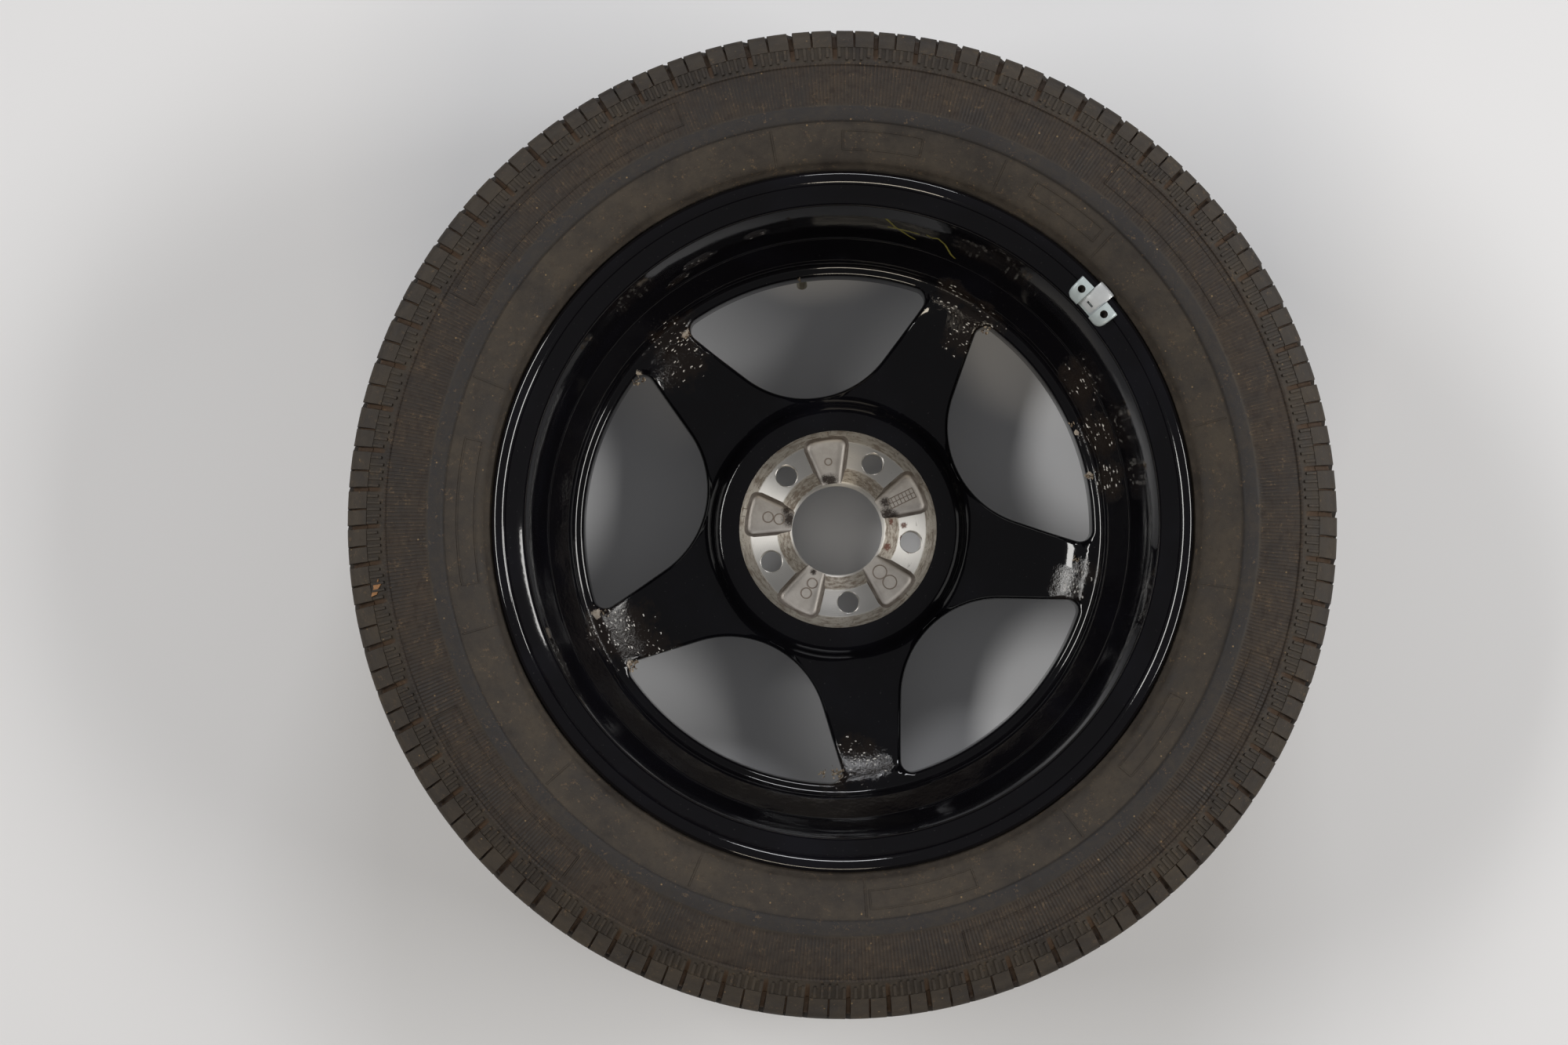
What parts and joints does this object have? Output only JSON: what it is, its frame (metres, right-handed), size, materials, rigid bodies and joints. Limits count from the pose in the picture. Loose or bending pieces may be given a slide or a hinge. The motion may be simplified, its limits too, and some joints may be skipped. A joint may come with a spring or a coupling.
{
  "type": "spare wheel",
  "caption": "Full-size spare: gloss black five-spoke cast wheel with a bare machined hub pad, a mounted road tyre, a snap-in valve and a clip-on balance weight.",
  "frame": {"origin": "on the spin axis, at the lowest point of the outboard sidewall that the wheel lies on", "axes": "+Z along the spin axis, out of the hub's mounting pad (inboard side up); +X to the picture's right, +Y to its top"},
  "size_m": [0.6793, 0.6794, 0.233],
  "materials": {
    "wheel_paint": "gloss black paint over cast aluminium, machined bare at the hub pad",
    "tyre_rubber": "dusty, brown-grey",
    "weight_zinc": "satin light grey coating",
    "clip_steel": "satin light grey coating over spring steel",
    "valve_rubber": "matt",
    "valve_brass": "dull, nickel-grey at the tip",
    "core_brass": "bright",
    "core_seal": "matt red seal",
    "core_steel": "bright"
  },
  "bodies": {
    "wheel_assembly": {"wheel": "wheel_paint", "tyre": "tyre_rubber", "balance_weight": "weight_zinc", "weight_clip": "clip_steel", "valve_body": "valve_rubber", "valve_stem": "valve_brass", "core_housing": "core_brass", "core_gasket": "core_seal", "core_spring": "core_steel"},
    "valve_pin": {"core_pin": "core_steel"}
  },
  "joints": [
    {"name": "valve_pin_press", "type": "slide", "parent": "wheel_assembly", "child": "valve_pin", "axis": [-0.0891, 0.634, 0.7682], "range_m": [0, 0.0015], "stiffness_N_per_m": 1000, "springref_m": -0.002, "deforming": ["core_spring"]}
  ]
}
